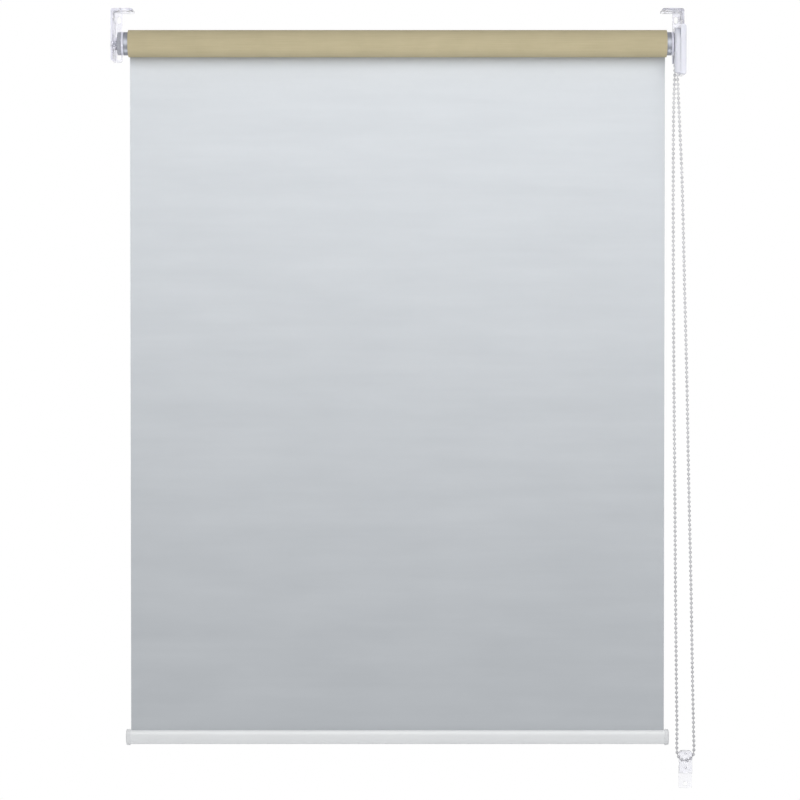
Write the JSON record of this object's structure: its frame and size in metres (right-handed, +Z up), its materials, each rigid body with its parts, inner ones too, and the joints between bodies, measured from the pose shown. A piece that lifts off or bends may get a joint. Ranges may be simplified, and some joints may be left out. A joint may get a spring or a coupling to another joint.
{
  "type": "roller blind",
  "caption": "Roller blind in clear end brackets, with a bead-chain clutch on the right, a winding tube, a hanging sheet with a bottom bar, and a tensioner hanging in the chain's loop.",
  "frame": {"origin": "on the ceiling plane, at the top faces of both brackets' ceiling flanges, straight above the middle of the roller axis", "axes": "+X along the roller towards the chain drive, +Y towards the wall or window behind the blind, +Z up"},
  "size_m": [0.7574, 0.0459, 1.01],
  "materials": {
    "clear_plastic": "clear moulded polycarbonate with a faint lilac tint",
    "beige_fabric": "fine plain-weave polyester, the room side of the cloth",
    "silver_coating": "silver blackout coating on the cloth's other side",
    "tube_steel": "galvanised rolled steel tube",
    "spring_steel": "plain drawn or turned steel",
    "white_plastic": "white moulded acetal",
    "grey_plastic": "pale grey moulded acetal",
    "white_coated": "extruded aluminium with a white powder coat",
    "bead_plastic": "pale grey beads moulded on a polyester string"
  },
  "bodies": {
    "frame": {"bracket_left": "clear_plastic", "bracket_right": "clear_plastic", "carrier_inner_wall": "clear_plastic", "carrier_outer_shell": "clear_plastic", "chain_housing": "clear_plastic", "chain_housing_face": "clear_plastic", "clutch_spindle": "grey_plastic", "spindle_clip": "spring_steel", "spindle_screw": "spring_steel", "chain_over_wheel": "bead_plastic", "bead_chain": "bead_plastic", "tensioner_back": "clear_plastic", "tensioner_front": "clear_plastic", "fabric_panel": "silver_coating"},
    "roller": {"roller_tube": "tube_steel", "fabric_roll": "beige_fabric", "idle_plug": "white_plastic", "drive_core": "white_plastic", "chain_wheel": "grey_plastic", "brake_spring_outer": "spring_steel", "brake_spring_inner": "spring_steel"},
    "hem_bar": {"bottom_bar": "white_coated", "insert_strip": "white_plastic", "bar_cap_left": "white_plastic", "bar_cap_right": "white_plastic"},
    "adjuster": {"adjuster_wheel": "grey_plastic"},
    "pin": {"idle_pin": "spring_steel"}
  },
  "joints": [
    {"name": "roller_turn", "type": "hinge", "parent": "frame", "child": "roller", "pos_m": [0, 0, -0.044], "axis": [1, 0, 0], "range_deg": [0, 2613]},
    {"name": "bar_lift", "type": "slide", "parent": "frame", "child": "hem_bar", "axis": [0, 0, 1], "range_m": [0, 0.872], "deforming": ["fabric_panel"]},
    {"name": "adjuster_turn", "type": "hinge", "parent": "roller", "child": "adjuster", "pos_m": [-0.3595, 0, -0.044], "axis": [1, 0, 0], "range_deg": [0, 1440]},
    {"name": "pin_slide", "type": "slide", "parent": "roller", "child": "pin", "axis": [1, 0, 0], "range_m": [0, 0.008]}
  ],
  "couplings": [
    {"joint": "bar_lift", "follows": "roller_turn", "m_per_rad": 0.01912},
    {"joint": "pin_slide", "follows": "adjuster_turn", "m_per_rad": 0.000318}
  ]
}
